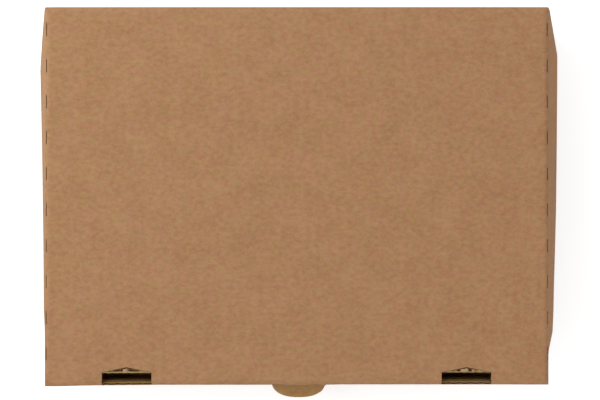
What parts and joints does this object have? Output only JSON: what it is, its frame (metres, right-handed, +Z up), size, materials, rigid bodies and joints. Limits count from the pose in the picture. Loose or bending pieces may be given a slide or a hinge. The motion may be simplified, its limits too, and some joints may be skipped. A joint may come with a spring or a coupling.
{
  "type": "shipping box",
  "caption": "Low mailer box folded from corrugated board: a tray under a hinged lid with outside skirts, a rolled front wall, lock slots, perforated creases and a thumb tab.",
  "frame": {"origin": "on the surface that the box stands on, below the middle of the closed box", "axes": "+Z up, +X along the long side to the right, -Y towards the thumb tab"},
  "size_m": [0.3252, 0.2416, 0.08],
  "materials": {
    "tray_board": "brown kraft liner with a matt fibre face",
    "lid_board": "brown kraft liner with a matt fibre face"
  },
  "bodies": {
    "tray": {"tray": "tray_board"},
    "lid": {"lid": "lid_board"}
  },
  "joints": [
    {"name": "lid_hinge", "type": "hinge", "parent": "tray", "child": "lid", "pos_m": [0, 0.11984, 0.07904], "axis": [-1, 0, 0], "range_deg": [0, 175]}
  ]
}
